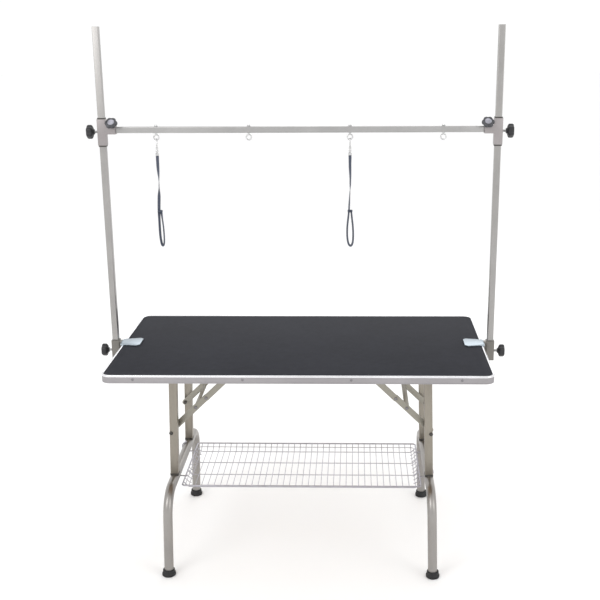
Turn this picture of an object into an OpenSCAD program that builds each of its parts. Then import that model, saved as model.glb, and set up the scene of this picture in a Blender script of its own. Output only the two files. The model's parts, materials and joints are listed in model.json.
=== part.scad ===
// Folding grooming table with a two-post overhead arm, two nooses and a hung wire basket.
// Millimetres, +Z up, origin on the floor under the middle of the top, viewer at -Y.

/* [Top] */
// Length of the top along X
top_w = 1200; // [1150:5:1230]
// Depth of the top along Y
top_d = 650; // [600:5:700]
// Height of the mat's surface above the floor
top_h = 700; // [695:1:706]
// Corner radius of the top
corner_r = 30; // [15:1:45]

/* [Leg frames] */
// Distance of each hinge line from the middle
hinge_x = 410; // [405:1:415]
// Outward lean of an open leg frame, in degrees
splay = 1.6; // [1:0.1:2]
// Half the distance between the two upright tubes of a frame
leg_y = 146; // [144:1:148]
// Outer width of the square upright tube
leg_w = 26; // [25:1:28]
// Half the distance between the feet of a frame
foot_y = 287; // [275:1:300]
// Depth of the hoop's level tube below the hinge line
hoop_drop = 376; // [376:1:380]
// Diameter of the round hoop tube
hoop_d = 30; // [28:1:30]

/* [Overhead arm] */
// Distance of each post's axis from the middle
post_x = 625; // [625:1:640]
// Top of the posts above the floor
post_top = 1722; // [1650:1:1800]
// Side of the square post and bar tubes
post_w = 20; // [18:1:20]
// Height of the overhead bar's axis
bar_z = 1408; // [1380:1:1420]
// Distance of the outer eyebolts from the middle
eye_outer_x = 454; // [400:1:500]
// Distance of the inner eyebolts from the middle
eye_inner_x = 160; // [120:1:200]

/* [Basket] */
// Length of the basket's rim
basket_w = 788; // [780:1:790]
// Depth of the basket's rim
basket_d = 344; // [320:1:350]
// Depth of the tray below its rim
basket_drop = 21; // [16:1:24]
// Distance between cross wires
wire_pitch = 21; // [18:1:26]

/* [Hidden] */
$fn = 48;
slip = 0.05;
gap = 0.3;
tube_wall = 1.5;

// top, from the mat downwards
mat_t = 3;
trim_t = 4;
trim_h = 25;
trim_flange_w = 14;
trim_flange_t = 1.5;
under_z = top_h - trim_h + trim_flange_t;
board_t = trim_h - trim_flange_t - mat_t;
rivet_r = 4;
rivet_t = 1.5;
rivet_xs = [-500, -165, 165, 500];
rivet_ys = [-190, 190];

// leg frames
hinge_z = under_z - 20.5;
hinge_tube_r = 11;
hinge_tube_half = leg_y + leg_w / 2 + 12;
leg_top = 14;
leg_round = 3;
hoop_r = hoop_d / 2;
hoop_bend = 75;
foot_r = 22;
foot_h = 22;
foot_grip = 14;

// braces
brace_depth = 215;
brace_back = 8;
brace_r = 10;
brace_t = 4;
lower_link_y = 118;
upper_link_y = 125;
brace_pin_r = 4;
upper_pivot_x = 195;
upper_pivot_z = under_z - 12.5;
cross_at = 0.68;
cross_w = 20;
cross_t = 6;
elbow_at = 0.5;

// brackets
bracket_t = 3;
bracket_y = leg_y + leg_w / 2 + 3;
lug_t = 2;
lug_y = upper_link_y - gap - lug_t;

// arm
post_bottom = 648;
socket_wall = 3;
socket_w = post_w + 2 * socket_wall + 0.2;
socket_z = [645, 712];
plate_t = 4;
clamp_reach = 62;
clamp_half = 40;
clamp_back = top_w / 2 + 1;
jaw_z = 640;
jaw_x = 562;
jaw_screw_r = 5;
jaw_pad_t = 6;
tee_z = [1360, 1442];
tee_arm = 31;
post_knob_z = 676;
side_knob_z = 1402;
top_knob_x = 590;
top_knob_r = 20;
top_knob_t = 14;
top_knob_out = 25;
knob_r = 22;
knob_t = 20;
knob_stem = 15;
stud_r = 4;
eye_z = 1384;
eye_r = 8;
eye_wire = 2.2;

// nooses: the strap's route, as sideways offset and height
strap_r = 3;
strap_sides = 8;
strap_route = [[0, 1326], [0, 1292], [1, 1252], [0, 1215], [-2, 1180], [-3.5, 1150],
    [-6, 1124], [-9, 1094], [-9, 1062], [-5, 1040], [2, 1033], [8, 1042],
    [10, 1064], [9, 1096], [6, 1124], [3.7, 1148]];
slider_z = 1147;
hook_eye_z = eye_z - eye_r + eye_wire + 2.2 - 7;

// basket
rim_w = 5;
wire_w = 2.4;
rim_z = hinge_z - hoop_drop - hoop_r - 1 - rim_w;
floor_z = rim_z + rim_w - basket_drop;
floor_half_x = basket_w / 2 - 16;
floor_half_y = basket_d / 2 - 30;
hook_r = 2.2;
hook_y = 100;

// ---- shared shapes

module round_rect(w, d, r) {
    square([w - 2 * r, d], center = true);
    square([w, d - 2 * r], center = true);
    for (x = [-1, 1], y = [-1, 1]) translate([x * (w / 2 - r), y * (d / 2 - r)]) circle(r);
}

module square_tube(w, wall, length) {
    linear_extrude(length) difference() {
        round_rect(w, w, 2);
        square(w - 2 * wall, center = true);
    }
}

// cylinder along Y from y0 to y1, always drawn low to high
module y_rod(r, y0, y1) {
    translate([0, max(y0, y1), 0]) rotate([90, 0, 0]) cylinder(r = r, h = abs(y1 - y0));
}

// flat link between two points of the XZ plane, t thick from y outwards
module link(a, b, r, y, t) {
    length = norm(b - a);
    angle = atan2(b[1] - a[1], b[0] - a[0]);
    translate([a[0], y + t, a[1]]) rotate([90, 0, 0]) rotate(angle) linear_extrude(t) {
        circle(r);
        translate([length, 0]) circle(r);
        translate([0, -r]) square([length, 2 * r]);
    }
}

// ---- the top

module mat() {
    color("#3b3b44") translate([0, 0, top_h - mat_t])
        linear_extrude(mat_t) round_rect(top_w - 2 * trim_t, top_d - 2 * trim_t, corner_r - trim_t);
}

module board() {
    color("burlywood") translate([0, 0, under_z])
        linear_extrude(board_t)
            round_rect(top_w - 2 * trim_t, top_d - 2 * trim_t, corner_r - trim_t);
}

module edge_trim() {
    color("#b9b7bd") {
        translate([0, 0, under_z]) linear_extrude(trim_h - trim_flange_t + 0.8) difference() {
            round_rect(top_w, top_d, corner_r);
            round_rect(top_w - 2 * trim_t, top_d - 2 * trim_t, corner_r - trim_t);
        }
        translate([0, 0, top_h - trim_h]) linear_extrude(trim_flange_t) difference() {
            round_rect(top_w, top_d, corner_r);
            round_rect(top_w - 2 * trim_flange_w, top_d - 2 * trim_flange_w,
                corner_r - trim_flange_w);
        }
    }
}

module trim_rivets() {
    color("#8d8b90") {
        for (x = rivet_xs, s = [-1, 1])
            translate([x, s * top_d / 2, top_h - trim_h / 2])
                rotate([-90 * s, 0, 0]) cylinder(r = rivet_r, h = rivet_t);
        for (y = rivet_ys, s = [-1, 1])
            translate([s * top_w / 2, y, top_h - trim_h / 2])
                rotate([0, 90 * s, 0]) cylinder(r = rivet_r, h = rivet_t);
    }
}

module hinge_brackets() {
    color("#a3a19c") for (s = [-1, 1], e = [-1, 1]) translate([s * hinge_x, 0, 0]) {
        translate([-25, e > 0 ? bracket_y : -bracket_y - 26, under_z - bracket_t])
            cube([50, 26, bracket_t]);
        translate([0, e > 0 ? bracket_y + bracket_t : -bracket_y, 0]) rotate([90, 0, 0])
            linear_extrude(bracket_t) difference() {
                union() {
                    translate([-17, hinge_z]) square([34, under_z - hinge_z - bracket_t / 2]);
                    translate([0, hinge_z]) circle(17);
                }
                translate([0, hinge_z]) circle(hinge_tube_r + slip);
            }
    }
}

module brace_brackets() {
    color("#a3a19c") for (s = [-1, 1], e = [-1, 1]) translate([s * upper_pivot_x, 0, 0]) {
        translate([-18, e > 0 ? lug_y - 22 : -lug_y - lug_t, under_z - bracket_t / 2])
            cube([36, 22 + lug_t, bracket_t / 2]);
        translate([0, e > 0 ? lug_y + lug_t : -lug_y, 0]) rotate([90, 0, 0])
            linear_extrude(lug_t) difference() {
                union() {
                    translate([-8, upper_pivot_z]) square([16, under_z - upper_pivot_z - 1]);
                    translate([0, upper_pivot_z]) circle(8);
                }
                translate([0, upper_pivot_z]) circle(brace_pin_r + slip);
            }
    }
}

// ---- leg frames: side is -1 on the left and 1 on the right

// the frame's own axes: hinge line along Y through the origin, legs down -Z
module on_frame(side) {
    translate([side * hinge_x, 0, hinge_z]) rotate([0, -side * splay, 0]) children();
}

// a point of the frame, given in its own axes, as [x, z] of the table
function frame_point(side, x, z) =
    [side * hinge_x + x * cos(splay) - side * z * sin(splay),
     hinge_z + z * cos(splay) + side * x * sin(splay)];

module uprights(side) {
    color("#aaa79e") on_frame(side) for (e = [-1, 1]) difference() {
        translate([0, e * leg_y, -hoop_drop]) square_tube(leg_w, tube_wall, hoop_drop + leg_top);
        translate([0, 0, -hoop_drop]) y_rod(hoop_r, -foot_y, foot_y);
        y_rod(hinge_tube_r, -foot_y, foot_y);
        translate([side * brace_back, 0, -brace_depth]) y_rod(brace_pin_r, -foot_y, foot_y);
    }
}

module hoop(side) {
    straight = foot_y - hoop_bend;
    // length of each down tube, so that it ends inside its foot
    down = (hinge_z - foot_grip / 2) / cos(splay) - hoop_drop - hoop_bend;
    color("#b5b3b4") on_frame(side) translate([0, 0, -hoop_drop]) {
        translate([0, straight, 0]) rotate([90, 0, 0]) linear_extrude(2 * straight) ring();
        for (e = [-1, 1]) {
            translate([0, e * straight, -hoop_bend]) rotate([0, 0, e * 90]) rotate([90, 0, 0])
                rotate_extrude(angle = 90) translate([hoop_bend, 0]) ring();
            translate([0, e * foot_y, -hoop_bend - down]) linear_extrude(down) ring();
        }
    }
}

module ring() {
    difference() {
        circle(hoop_r);
        circle(hoop_r - tube_wall);
    }
}

module hinge_tube(side) {
    color("#a3a19c") on_frame(side) difference() {
        y_rod(hinge_tube_r, -hinge_tube_half, hinge_tube_half);
        y_rod(hinge_tube_r - 2, -hinge_tube_half - 1, hinge_tube_half + 1);
    }
}

module feet(side) {
    foot = frame_point(side, 0, -hinge_z);
    color("#1c1c1e") for (e = [-1, 1]) difference() {
        translate([foot[0], e * foot_y, 0]) {
            cylinder(r = foot_r, h = 10);
            translate([0, 0, 10]) cylinder(r = foot_r - 3, h = foot_h - 10);
        }
        on_frame(side) translate([0, e * foot_y, -(hinge_z - foot_grip / 2) / cos(splay)])
            cylinder(r = hoop_r, h = 100);
    }
}

module brace_bolts(side) {
    color("#4a4844") on_frame(side) translate([side * brace_back, 0, -brace_depth])
        for (e = [-1, 1]) {
            y_rod(brace_pin_r, e * (lower_link_y - 1), e * (leg_y + leg_w / 2));
            y_rod(brace_pin_r + 2, e * (leg_y + leg_w / 2), e * (leg_y + leg_w / 2 + 3));
            y_rod(brace_pin_r + 3, e * (lower_link_y - 3), e * (lower_link_y - gap));
        }
}

// ---- braces

function low_pivot(side) = frame_point(side, side * brace_back, -brace_depth);
function high_pivot(side) = [side * upper_pivot_x, upper_pivot_z];
function along(a, b, t) = a + (b - a) * t;
function elbow(side) = along(low_pivot(side), high_pivot(side), elbow_at);

module lower_links(side) {
    pivot = low_pivot(side);
    tip = elbow(side);
    color("#a3a19c") for (e = [-1, 1]) {
        difference() {
            link(pivot, tip, brace_r, e > 0 ? lower_link_y : -lower_link_y - brace_t, brace_t);
            translate([pivot[0], 0, pivot[1]])
                y_rod(brace_pin_r + slip, -foot_y, foot_y);
        }
        translate([tip[0], 0, tip[1]])
            y_rod(6, e * (lower_link_y - 2.5), e * (lower_link_y + 1));
    }
}

module cross_bar(side) {
    pivot = low_pivot(side);
    tip = elbow(side);
    spot = along(pivot, tip, cross_at);
    angle = atan2(tip[1] - pivot[1], tip[0] - pivot[0]);
    color("#9aa09c") translate([spot[0], 0, spot[1]]) rotate([0, -angle, 0])
        translate([-cross_w / 2, -lower_link_y, -cross_t / 2])
            cube([cross_w, 2 * lower_link_y, cross_t]);
}

module upper_links(side) {
    pivot = high_pivot(side);
    tip = elbow(side);
    color("#a3a19c") for (e = [-1, 1]) {
        link(pivot, tip, brace_r, e > 0 ? upper_link_y : -upper_link_y - brace_t, brace_t);
        translate([pivot[0], 0, pivot[1]])
            y_rod(brace_pin_r, e * (lug_y - 0.5), e * (upper_link_y + 1));
    }
}

// ---- clamps, posts and bar

module clamp(side) {
    color("#b4b8c4") {
        // jaw: top plate on the mat, back plate and lower arm
        difference() {
            union() {
                translate([0, 0, top_h + 1]) linear_extrude(plate_t) polygon([
                    [side * (clamp_back + plate_t), -28], [side * (clamp_back + plate_t), 28],
                    [side * (clamp_back - clamp_reach + 10), clamp_half],
                    [side * (clamp_back - clamp_reach), 30],
                    [side * (clamp_back - clamp_reach), -30],
                    [side * (clamp_back - clamp_reach + 10), -clamp_half]]);
                translate([side > 0 ? clamp_back : -clamp_back - plate_t, -28, jaw_z])
                    cube([plate_t, 56, top_h + 1 - jaw_z + plate_t]);
                translate([side > 0 ? jaw_x - 20 : -clamp_back - plate_t, -20, jaw_z])
                    cube([clamp_back + plate_t - jaw_x + 20, 40, 6]);
            }
            translate([side * jaw_x, 0, jaw_z - 1]) cylinder(r = jaw_screw_r + slip, h = 10);
        }
        // socket for the post, on a spacer
        difference() {
            union() {
                translate([side * post_x, 0, (socket_z[0] + socket_z[1]) / 2])
                    cube([socket_w, socket_w, socket_z[1] - socket_z[0]], center = true);
                translate([side > 0 ? clamp_back + plate_t / 2
                        : -(post_x - post_w / 2 - 1), -10, socket_z[0] + 4])
                    cube([post_x - post_w / 2 - 1 - clamp_back - plate_t / 2, 20,
                        socket_z[1] - socket_z[0] - 8]);
            }
            translate([side * post_x, 0, (socket_z[0] + socket_z[1]) / 2])
                cube([post_w + 0.2, post_w + 0.2, 200], center = true);
            translate([side * post_x, 0, post_knob_z]) rotate([0, side * 90, 0])
                cylinder(r = stud_r + slip, h = 40);
        }
    }
}

module post(side) {
    color("#bdbcc0") translate([side * post_x, 0, post_bottom]) {
        square_tube(post_w, tube_wall, post_top - post_bottom);
        translate([0, 0, post_top - post_bottom]) linear_extrude(2) round_rect(post_w, post_w, 2);
    }
}

module overhead_bar() {
    half = post_x - socket_w / 2;
    color("#bdbcc0") difference() {
        translate([-half, 0, bar_z]) rotate([0, 90, 0])
            square_tube(post_w - 1, tube_wall, 2 * half);
        for (x = [eye_outer_x, eye_inner_x], s = [-1, 1])
            translate([s * x, 0, bar_z - post_w]) cylinder(r = 2.5, h = 2 * post_w);
    }
}

// the top locks press on the bar's upper front corner
module on_corner(side) {
    translate([side * top_knob_x, 0, bar_z]) rotate([45, 0, 0]) children();
}

module tee(side) {
    color("#a9a8ac") difference() {
        union() {
            translate([side * post_x, 0, (tee_z[0] + tee_z[1]) / 2])
                cube([socket_w, socket_w, tee_z[1] - tee_z[0]], center = true);
            translate([side > 0 ? post_x - socket_w / 2 - tee_arm : -post_x + socket_w / 2,
                    -socket_w / 2, bar_z - socket_w / 2])
                cube([tee_arm, socket_w, socket_w]);
        }
        translate([side * post_x, 0, (tee_z[0] + tee_z[1]) / 2])
            cube([post_w + 0.2, post_w + 0.2, 200], center = true);
        translate([side > 0 ? post_x - socket_w / 2 - tee_arm - 1 : -post_x + socket_w / 2,
                -(post_w - 1) / 2, bar_z - (post_w - 1) / 2])
            cube([tee_arm + 1, post_w - 1, post_w - 1]);
        translate([side * post_x, 0, side_knob_z]) rotate([0, side * 90, 0])
            cylinder(r = stud_r + slip, h = 40);
        on_corner(side) cylinder(r = stud_r + slip, h = 40);
    }
}

module eyebolts() {
    color("#c6c6ca") for (x = [eye_outer_x, eye_inner_x], s = [-1, 1])
        translate([s * x, 0, eye_z]) {
            rotate([90, 0, 0]) rotate_extrude() translate([eye_r, 0]) circle(eye_wire, $fn = 24);
            translate([0, 0, eye_r]) cylinder(r = 2.5, h = bar_z + post_w / 2 + 7 - eye_z - eye_r);
        }
}

module eyebolt_nuts() {
    color("#8d8b90") for (x = [eye_outer_x, eye_inner_x], s = [-1, 1])
        translate([s * x, 0, bar_z + post_w / 2 - 0.5]) difference() {
            cylinder(r = 5, h = 4, $fn = 6);
            translate([0, 0, -1]) cylinder(r = 2.5, h = 6);
        }
}

// ---- knobs, drawn along +Z with the stud's inner end at the origin

module knob_head(r, t) {
    difference() {
        union() {
            cylinder(r = r - 3, h = t);
            for (i = [0:5]) rotate(i * 60) translate([r - 6, 0, 0]) cylinder(r = 6, h = t);
            translate([0, 0, -4]) cylinder(r = 8, h = 4);
        }
        translate([0, 0, -5]) cylinder(r = stud_r, h = t);
    }
}

module post_knob(side) {
    color("#232326") translate([side * (post_x + socket_w / 2 + knob_stem), 0, post_knob_z])
        rotate([0, side * 90, 0]) knob_head(knob_r - 1, knob_t);
}

module post_stud(side) {
    color("#8d8b90") translate([side * (post_x + post_w / 2 + gap), 0, post_knob_z])
        rotate([0, side * 90, 0])
            cylinder(r = stud_r, h = socket_wall + knob_stem + knob_t - 5 - gap + 0.1);
}

module side_knob(side) {
    color("#232326") translate([side * (post_x + socket_w / 2 + knob_stem), 0, side_knob_z])
        rotate([0, side * 90, 0]) knob_head(knob_r, knob_t);
}

module side_stud(side) {
    color("#8d8b90") translate([side * (post_x + post_w / 2 + gap), 0, side_knob_z])
        rotate([0, side * 90, 0])
            cylinder(r = stud_r, h = socket_wall + knob_stem + knob_t - 5 - gap + 0.1);
}

module top_knob(side) {
    color("#3a3a3e") on_corner(side) translate([0, 0, top_knob_out])
        knob_head(top_knob_r, top_knob_t);
}

module top_stud(side) {
    start = (post_w - 1) / sqrt(2) - 0.4;
    color("#8d8b90") on_corner(side) translate([0, 0, start])
        cylinder(r = stud_r, h = top_knob_out + top_knob_t - 5 + 0.01 - start);
}

module jaw_pad(side) {
    color("#2a2a2c") translate([side * jaw_x, 0, under_z - jaw_pad_t])
        cylinder(r = 14, h = jaw_pad_t);
}

module jaw_screw(side) {
    color("#8d8b90") translate([side * jaw_x, 0, 0]) {
        translate([0, 0, 600]) cylinder(r = jaw_screw_r, h = under_z - jaw_pad_t - 600);
        translate([-24, 0, 604]) rotate([0, 90, 0]) cylinder(r = 3, h = 48);
    }
}

// ---- nooses

function smooth(points, i, t) =
    let (n = len(points),
        a = points[max(i - 1, 0)], b = points[i],
        c = points[min(i + 1, n - 1)], d = points[min(i + 2, n - 1)])
    0.5 * (2 * b + (c - a) * t + (2 * a - 5 * b + 4 * c - d) * t * t
        + (3 * b - 3 * c + d - a) * t * t * t);
function route(points) = [for (i = [0:len(points) - 2], t = [0, 0.5]) smooth(points, i, t),
    points[len(points) - 1]];

module noose(x) {
    path = route(strap_route);
    n = len(path);
    sides = strap_sides;
    rings = [for (i = [0:n - 1])
        let (d = path[min(i + 1, n - 1)] - path[max(i - 1, 0)], u = d / norm(d), across = [u[1], -u[0]])
        for (k = [0:sides - 1])
            let (a = 360 * k / sides, side = strap_r * cos(a))
            [x + path[i][0] + across[0] * side, strap_r * sin(a), path[i][1] + across[1] * side]];
    faces = [[for (k = [0:sides - 1]) k],
        for (i = [0:n - 2], k = [0:sides - 1]) let (j = (k + 1) % sides)
            [i * sides + k, (i + 1) * sides + k, (i + 1) * sides + j, i * sides + j],
        [for (k = [sides - 1:-1:0]) (n - 1) * sides + k]];
    color("#26335f") polyhedron(rings, faces);
}

module snap_hook(x) {
    color("#c2c2c6") translate([x, 0, 0]) {
        translate([0, 0, hook_eye_z]) rotate([0, 90, 0])
            rotate_extrude() translate([7, 0]) circle(2, $fn = 24);
        translate([0, 0, 1335]) cylinder(r = 4, h = hook_eye_z - 8.6 - 1335 + 1.2);
        translate([0, 0, 1326]) cylinder(r = 5.5, h = 9);
    }
}

module slider(x) {
    color("#3c3c40") translate([x, 0, slider_z]) difference() {
        cube([18, 10, 8], center = true);
        cube([15, 6.8, 9], center = true);
    }
}

// ---- basket

module basket_rim() {
    color("#bcbac6") translate([0, 0, rim_z]) linear_extrude(rim_w) difference() {
        square([basket_w + rim_w, basket_d + rim_w], center = true);
        square([basket_w - rim_w, basket_d - rim_w], center = true);
    }
}

// cross wires at the pitch, with runs at the given offsets along Y
module mesh(half_x, y0, y1, runs) {
    count = floor(half_x / wire_pitch);
    for (i = [-count:count]) translate([i * wire_pitch - wire_w / 2, y0]) square([wire_w, y1 - y0]);
    for (y = runs) translate([-half_x, y - wire_w / 2]) square([2 * half_x, wire_w]);
}

module basket_floor() {
    color("#c4c2ce") translate([0, 0, floor_z]) linear_extrude(wire_w)
        mesh(floor_half_x, -floor_half_y, floor_half_y,
            [-floor_half_y + wire_w / 2, -floor_half_y / 3, floor_half_y / 3,
                floor_half_y - wire_w / 2]);
}

module basket_wall(e) {
    rise = rim_z - floor_z - wire_w / 2;
    run = basket_d / 2 - rim_w / 2 - floor_half_y;
    color("#c4c2ce") translate([0, e * floor_half_y, floor_z + wire_w / 2])
        rotate([e * atan2(rise, run), 0, 0]) translate([0, 0, -wire_w / 2])
            linear_extrude(wire_w) mesh(floor_half_x, e > 0 ? 0.8 : -norm([rise, run]) + 0.8,
                e > 0 ? norm([rise, run]) - 0.8 : -0.8, [e * norm([rise, run]) / 2]);
}

module basket_front() { basket_wall(-1); }
module basket_rear() { basket_wall(1); }

module basket_ends() {
    rise = rim_z - floor_z - wire_w / 2;
    run = basket_w / 2 - rim_w / 2 - floor_half_x;
    length = norm([rise, run]);
    count = floor(floor_half_y / 28);
    color("#c4c2ce") for (s = [-1, 1])
        translate([s * floor_half_x, 0, floor_z + wire_w / 2])
            rotate([0, -s * atan2(rise, run), 0]) translate([0, 0, -wire_w / 2])
                linear_extrude(wire_w) {
                    for (i = [-count:count])
                        translate([s > 0 ? 1.8 : 0.8 - length, i * 28 - wire_w / 2])
                            square([length - 2.6, wire_w]);
                    translate([s * length / 2 - wire_w / 2, -floor_half_y])
                        square([wire_w, 2 * floor_half_y]);
                }
}

// open hooks that pass under each level tube and curl up round its outer side
module basket_hooks() {
    radius = hoop_r + 0.6 + hook_r;
    color("#bcbac6") for (s = [-1, 1], y = [-hook_y, hook_y]) {
        tube = frame_point(s, 0, -hoop_drop);
        translate([tube[0], y, tube[1]]) rotate([90, 0, 0]) {
            rotate(s > 0 ? -90 : 95) rotate_extrude(angle = 175)
                translate([radius, 0]) circle(hook_r, $fn = 24);
        }
        translate([s * (basket_w + rim_w) / 2, y, tube[1] - radius]) rotate([0, s * 90, 0])
            cylinder(r = hook_r, h = s * tube[0] - (basket_w + rim_w) / 2, $fn = 24);
    }
}

mat();
board();
edge_trim();
trim_rivets();
hinge_brackets();
brace_brackets();
clamp(-1);  // left_clamp
clamp(1);  // right_clamp
basket_rim();
basket_floor();
basket_front();
basket_rear();
basket_ends();
basket_hooks();
uprights(-1);  // left_uprights
hoop(-1);  // left_hoop
hinge_tube(-1);  // left_hinge_tube
feet(-1);  // left_feet
brace_bolts(-1);  // left_brace_bolts
uprights(1);  // right_uprights
hoop(1);  // right_hoop
hinge_tube(1);  // right_hinge_tube
feet(1);  // right_feet
brace_bolts(1);  // right_brace_bolts
lower_links(-1);  // left_lower_links
cross_bar(-1);  // left_cross_bar
upper_links(-1);  // left_upper_links
lower_links(1);  // right_lower_links
cross_bar(1);  // right_cross_bar
upper_links(1);  // right_upper_links
post(-1);  // left_post
post(1);  // right_post
overhead_bar();
tee(-1);  // left_tee
tee(1);  // right_tee
eyebolts();
eyebolt_nuts();
post_knob(-1);  // left_post_knob
post_stud(-1);  // left_post_stud
post_knob(1);  // right_post_knob
post_stud(1);  // right_post_stud
side_knob(-1);  // left_side_knob
side_stud(-1);  // left_side_stud
side_knob(1);  // right_side_knob
side_stud(1);  // right_side_stud
top_knob(-1);  // left_top_knob
top_stud(-1);  // left_top_stud
top_knob(1);  // right_top_knob
top_stud(1);  // right_top_stud
jaw_pad(-1);  // left_jaw_pad
jaw_screw(-1);  // left_jaw_screw
jaw_pad(1);  // right_jaw_pad
jaw_screw(1);  // right_jaw_screw
snap_hook(-eye_outer_x);  // left_snap_hook
noose(-eye_outer_x);  // left_noose
slider(-eye_outer_x);  // left_slider
snap_hook(eye_inner_x);  // right_snap_hook
noose(eye_inner_x);  // right_noose
slider(eye_inner_x);  // right_slider
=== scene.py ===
import json
import math

import bmesh
import bpy
from mathutils import Matrix, Vector

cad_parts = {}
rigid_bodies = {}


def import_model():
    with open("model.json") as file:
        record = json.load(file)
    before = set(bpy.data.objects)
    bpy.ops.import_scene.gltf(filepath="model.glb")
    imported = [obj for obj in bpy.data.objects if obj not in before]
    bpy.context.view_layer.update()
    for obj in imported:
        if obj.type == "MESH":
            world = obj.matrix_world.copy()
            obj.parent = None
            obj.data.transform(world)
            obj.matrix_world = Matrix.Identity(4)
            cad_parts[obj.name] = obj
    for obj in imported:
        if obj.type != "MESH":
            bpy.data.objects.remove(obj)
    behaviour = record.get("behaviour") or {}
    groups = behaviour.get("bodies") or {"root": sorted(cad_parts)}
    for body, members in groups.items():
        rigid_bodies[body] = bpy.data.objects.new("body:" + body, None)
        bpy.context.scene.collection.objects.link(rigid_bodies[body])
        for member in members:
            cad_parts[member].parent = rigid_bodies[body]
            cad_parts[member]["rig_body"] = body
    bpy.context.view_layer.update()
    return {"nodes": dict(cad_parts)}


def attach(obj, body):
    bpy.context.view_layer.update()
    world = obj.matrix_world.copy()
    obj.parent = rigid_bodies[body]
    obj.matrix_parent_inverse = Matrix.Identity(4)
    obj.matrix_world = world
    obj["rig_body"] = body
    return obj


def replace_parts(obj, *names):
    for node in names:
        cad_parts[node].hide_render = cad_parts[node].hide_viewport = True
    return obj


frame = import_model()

nodes = frame["nodes"]
mm = 0.001
sides = {"left": -1, "right": 1}


# where the buyer stands, in metres, with the turns in radians
viewPoint = {
    "place": (0.174, -3.120, 1.712),
    "turn": 0.0238,  # to the left
    "down": 0.2667,
    "lean": -0.0053,
    "lens": 58.84,
    "sensor": 36,
    "shift": (-0.053, -0.0047),
}


def makeCamera(v):
    data = bpy.data.cameras.new("viewCamera")
    data.lens = v["lens"]
    data.sensor_width = v["sensor"]
    data.shift_x, data.shift_y = v["shift"]
    data.dof.use_dof = False
    camera = bpy.data.objects.new("viewCamera", data)
    bpy.context.scene.collection.objects.link(camera)
    camera.matrix_world = (
        Matrix.Translation(v["place"])
        @ Matrix.Rotation(v["turn"], 4, "Z")
        @ Matrix.Rotation(math.pi / 2 - v["down"], 4, "X")
        @ Matrix.Rotation(v["lean"], 4, "Z")
    )
    bpy.context.scene.camera = camera


makeCamera(viewPoint)
print("camera placed")


# a shader socket, so that node sums are written as plain sums
class Wire:
    def __init__(self, finish, socket):
        self.finish = finish
        self.socket = socket

    def math(self, operation, first, second):
        return self.finish.node("ShaderNodeMath", {"operation": operation}, {0: first, 1: second})

    def __add__(self, other):
        return self.math("ADD", self, other)

    def __radd__(self, other):
        return self.math("ADD", other, self)

    def __sub__(self, other):
        return self.math("SUBTRACT", self, other)

    def __rsub__(self, other):
        return self.math("SUBTRACT", other, self)

    def __mul__(self, other):
        return self.math("MULTIPLY", self, other)

    def __rmul__(self, other):
        return self.math("MULTIPLY", other, self)

# one material: put sets a socket of its shader, node adds any other node
class Finish:
    def __init__(self, name, color, metallic=0.0, roughness=0.5, **constants):
        self.material = bpy.data.materials.new(name)
        self.material.use_nodes = True
        self.tree = self.material.node_tree
        self.shader = self.tree.nodes["Principled BSDF"]
        self.put("Base Color", (*color, 1.0))
        self.put("Metallic", metallic)
        self.put("Roughness", roughness)
        for key, value in constants.items():
            self.put(key.replace("_", " "), value)
        self.place = self.node("ShaderNodeTexCoord", {}, {}, "Object")

    def put(self, socketName, value):
        self.plug(self.shader.inputs[socketName], value)

    def plug(self, socket, value):
        if isinstance(value, Wire):
            self.tree.links.new(value.socket, socket)
        else:
            socket.default_value = value

    def node(self, kind, settings, values, output=0):
        made = self.tree.nodes.new(kind)
        for key, value in settings.items():
            if key == "stops":
                for stop, (at, color) in zip(made.color_ramp.elements, value):
                    stop.position = at
                    stop.color = (*color, 1.0)
            else:
                setattr(made, key, value)
        for key, value in values.items():
            self.plug(made.inputs[key], value)
        return Wire(self, made.outputs[output])

    def noise(self, scale, detail=3.0, stretch=(1, 1, 1)):
        spread = self.node("ShaderNodeMapping", {}, {"Vector": self.place, "Scale": stretch})
        return self.node("ShaderNodeTexNoise", {}, {"Vector": spread, "Scale": scale, "Detail": detail})

    def ramp(self, amount, dark, light, low=0.3, high=0.7):
        return self.node("ShaderNodeValToRGB", {"stops": [(low, dark), (high, light)]}, {"Fac": amount})

    def bump(self, height, depth, strength=1.0):
        self.put("Normal", self.node("ShaderNodeBump", {}, {
            "Height": height, "Distance": depth, "Strength": strength}))


def shade(color, amount):
    return tuple(min(1.0, c * amount) for c in color)


def satinSteel(name, color, stretch, roughness=0.36, spread=0.09):
    f = Finish(name, color, metallic=1.0)
    streaks = f.noise(260, 2, stretch)
    clouds = f.noise(7, 4)
    f.put("Base Color", f.ramp(streaks * 0.45 + clouds * 0.55, shade(color, 0.86), shade(color, 1.14)))
    f.put("Roughness", roughness - spread / 2 + streaks * spread + clouds * 0.06)
    f.bump(streaks, 0.00006, 0.6)
    return f.material


def brightWire(name, color, roughness):
    f = Finish(name, color, metallic=1.0)
    clouds = f.noise(35, 4)
    f.put("Base Color", f.ramp(clouds, shade(color, 0.85), shade(color, 1.12)))
    f.put("Roughness", roughness + clouds * 0.12)
    f.bump(f.noise(900, 2), 0.00002, 0.5)
    return f.material


def mouldedPlastic(name, color, roughness, grain):
    f = Finish(name, color, roughness=roughness, Specular_IOR_Level=0.45)
    worn = f.noise(60, 5)
    fine = f.noise(grain, 3)
    f.put("Base Color", f.ramp(worn, shade(color, 0.75), shade(color, 1.5)))
    f.put("Roughness", roughness - 0.08 + fine * 0.16)
    f.bump(fine, 0.00005, 0.7)
    return f.material


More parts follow.
